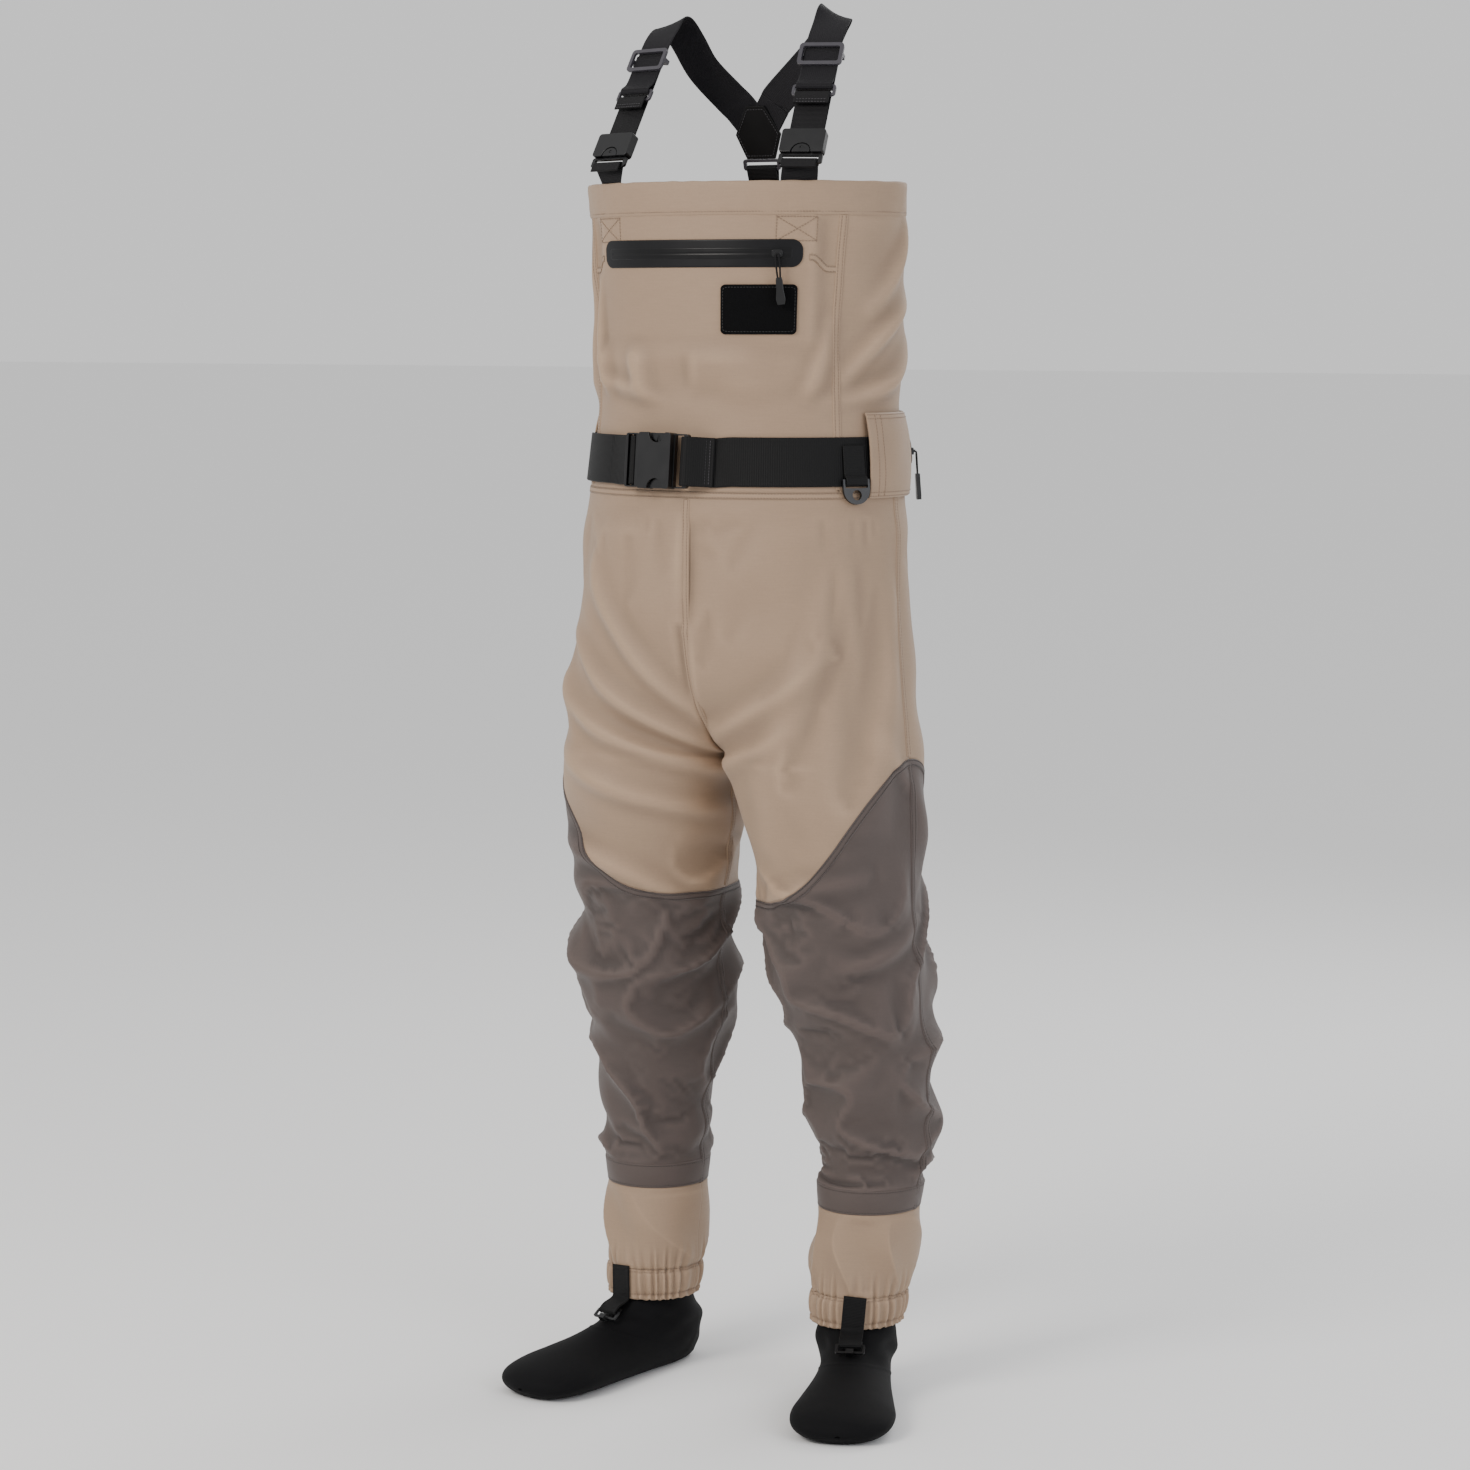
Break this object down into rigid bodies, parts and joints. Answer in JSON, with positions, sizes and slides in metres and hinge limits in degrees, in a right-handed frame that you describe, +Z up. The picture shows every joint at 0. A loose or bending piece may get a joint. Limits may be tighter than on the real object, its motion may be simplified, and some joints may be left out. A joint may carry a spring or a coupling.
{
  "type": "chest waders",
  "caption": "Stocking-foot chest waders: bib on buckled shoulder straps, zipped chest pocket, waist belt, legs in two tones, gravel guards and neoprene socks.",
  "frame": {"origin": "on the floor midway between the feet, at the middle of the outline, where the wearer stands", "axes": "+Z up, the wearer faces -Y, +X is the wearer's left"},
  "size_m": [0.4495, 0.3176, 1.4493],
  "materials": {
    "tan_laminate": "matt woven polyester face of a three-layer laminate, khaki",
    "umber_laminate": "matt heavier woven face, dark umber",
    "neoprene": "black 4 mm neoprene with a fine knitted face",
    "webbing": "black ribbed nylon webbing",
    "elastic_webbing": "charcoal stretch webbing",
    "coated_film": "satin black bonded polyurethane film",
    "loop_pile": "black hook-and-loop pile",
    "grey_acetal": "light grey moulded acetal",
    "black_acetal": "satin black moulded acetal"
  },
  "bodies": {
    "garment": {"bib_front_panel": "tan_laminate", "bib_back_left_panel": "tan_laminate", "bib_back_right_panel": "tan_laminate", "thigh_front_left": "tan_laminate", "thigh_front_right": "tan_laminate", "thigh_back_left": "tan_laminate", "thigh_back_right": "tan_laminate", "shin_front_left": "umber_laminate", "shin_front_right": "umber_laminate", "calf_back_left": "umber_laminate", "calf_back_right": "umber_laminate", "sock_left": "neoprene", "sock_right": "neoprene", "bib_tab_left": "webbing", "bib_tab_right": "webbing", "buckle_tongue_left": "black_acetal", "buckle_tongue_right": "black_acetal", "chest_zip_surround": "coated_film", "chest_zip_coil": "coated_film", "chest_pocket_bag": "tan_laminate", "badge_patch": "loop_pile", "belt_webbing": "webbing", "belt_buckle_socket": "black_acetal", "belt_tunnel": "tan_laminate", "d_ring_tab": "webbing", "rear_zip_surround": "coated_film", "yoke_patch": "loop_pile", "back_ring": "grey_acetal", "back_tab": "webbing"},
    "belt_plug": {"belt_buckle_plug": "black_acetal", "belt_tail": "webbing"},
    "prong_upper": {"belt_prong_upper": "black_acetal"},
    "prong_lower": {"belt_prong_lower": "black_acetal"},
    "chest_slider": {"chest_zip_slider": "black_acetal"},
    "chest_pull": {"chest_pull_cord": "webbing", "chest_pull_tab": "black_acetal"},
    "rear_slider": {"rear_zip_slider": "black_acetal"},
    "rear_pull": {"rear_zip_pull": "black_acetal"},
    "d_ring": {"d_ring": "black_acetal"},
    "strap_left": {"shoulder_strap_left": "elastic_webbing", "strap_ring_left": "grey_acetal", "connector_strap_left": "webbing", "buckle_housing_left": "black_acetal"},
    "length_slider_left": {"strap_slider_left": "grey_acetal"},
    "release_button_left": {"release_button_left": "black_acetal"},
    "guard_left": {"gravel_guard_left": "tan_laminate", "guard_hem_left": "tan_laminate", "hook_tab_left": "webbing"},
    "lace_hook_left": {"lace_hook_left": "black_acetal"},
    "strap_right": {"shoulder_strap_right": "elastic_webbing", "strap_ring_right": "grey_acetal", "connector_strap_right": "webbing", "buckle_housing_right": "black_acetal"},
    "length_slider_right": {"strap_slider_right": "grey_acetal"},
    "release_button_right": {"release_button_right": "black_acetal"},
    "guard_right": {"gravel_guard_right": "tan_laminate", "guard_hem_right": "tan_laminate", "hook_tab_right": "webbing"},
    "lace_hook_right": {"lace_hook_right": "black_acetal"}
  },
  "joints": [
    {"name": "belt_release", "type": "hinge", "parent": "garment", "child": "belt_plug", "pos_m": [-0.00067, 0.11331, 0.96431], "axis": [0.0109, 0.0881, 0.9961], "range_deg": [-10.5, 0]},
    {"name": "prong_squeeze_upper", "type": "hinge", "parent": "belt_plug", "child": "prong_upper", "pos_m": [-0.05031, -0.11971, 0.99902], "axis": [-0.1221, -0.9885, 0.0888], "range_deg": [-7, 0], "stiffness_Nm_per_rad": 0.4},
    {"name": "prong_squeeze_lower", "type": "hinge", "parent": "belt_plug", "child": "prong_lower", "pos_m": [-0.0506, -0.12209, 0.97213], "axis": [-0.1221, -0.9885, 0.0888], "range_deg": [0, 7]},
    {"name": "chest_zip_travel", "type": "hinge", "parent": "garment", "child": "chest_slider", "pos_m": [0, 0.11833, 1.194], "axis": [0, 0, 1], "range_deg": [-47, 0]},
    {"name": "chest_pull_swing", "type": "hinge", "parent": "chest_slider", "child": "chest_pull", "pos_m": [0.09531, -0.09954, 1.19291], "axis": [0.4144, -0.9099, -0.017], "range_deg": [-75, 75]},
    {"name": "rear_zip_travel", "type": "hinge", "parent": "garment", "child": "rear_slider", "pos_m": [0.02142, -0.03585, 0.992], "axis": [0, 0, 1], "range_deg": [0, 37]},
    {"name": "rear_pull_swing", "type": "hinge", "parent": "rear_slider", "child": "rear_pull", "pos_m": [0.16213, 0.07947, 0.99134], "axis": [0.7944, 0.6044, 0.0609], "range_deg": [-70, 70]},
    {"name": "d_ring_swing", "type": "hinge", "parent": "garment", "child": "d_ring", "pos_m": [0.15836, -0.04852, 0.966], "axis": [0.5707, 0.8212, 0], "range_deg": [-140, 0]},
    {"name": "strap_unclip_left", "type": "slide", "parent": "garment", "child": "strap_left", "axis": [-0.0797, 0.505, 0.8594], "range_m": [0, 0.03], "deforming": ["shoulder_strap_left"]},
    {"name": "strap_length_left", "type": "slide", "parent": "strap_left", "child": "length_slider_left", "axis": [-0.0797, 0.505, 0.8594], "range_m": [-0.009, 0.009]},
    {"name": "button_press_left", "type": "slide", "parent": "garment", "child": "release_button_left", "axis": [-0.164, 0.8438, -0.511], "range_m": [0, 0.0005], "stiffness_N_per_m": 800},
    {"name": "guard_lift_left", "type": "slide", "parent": "garment", "child": "guard_left", "axis": [0.0349, 0.1497, 0.9881], "range_m": [0, 0.045], "deforming": ["gravel_guard_left"]},
    {"name": "lace_hook_swing_left", "type": "hinge", "parent": "guard_left", "child": "lace_hook_left", "pos_m": [0.15022, -0.0379, 0.069], "axis": [0.9272, 0.3746, 0], "range_deg": [-70, 6]},
    {"name": "strap_unclip_right", "type": "slide", "parent": "garment", "child": "strap_right", "axis": [0.0797, 0.505, 0.8594], "range_m": [0, 0.03], "deforming": ["shoulder_strap_right"]},
    {"name": "strap_length_right", "type": "slide", "parent": "strap_right", "child": "length_slider_right", "axis": [0.0797, 0.505, 0.8594], "range_m": [-0.009, 0.009]},
    {"name": "button_press_right", "type": "slide", "parent": "garment", "child": "release_button_right", "axis": [0.164, 0.8438, -0.511], "range_m": [0, 0.0005], "stiffness_N_per_m": 800},
    {"name": "guard_lift_right", "type": "slide", "parent": "garment", "child": "guard_right", "axis": [-0.0349, 0.1497, 0.9881], "range_m": [0, 0.045], "deforming": ["gravel_guard_right"]},
    {"name": "lace_hook_swing_right", "type": "hinge", "parent": "guard_right", "child": "lace_hook_right", "pos_m": [-0.13975, -0.04121, 0.069], "axis": [0.9744, -0.225, 0], "range_deg": [-70, 6]}
  ],
  "couplings": [
    {"joint": "prong_squeeze_lower", "follows": "prong_squeeze_upper", "ratio": -1}
  ]
}
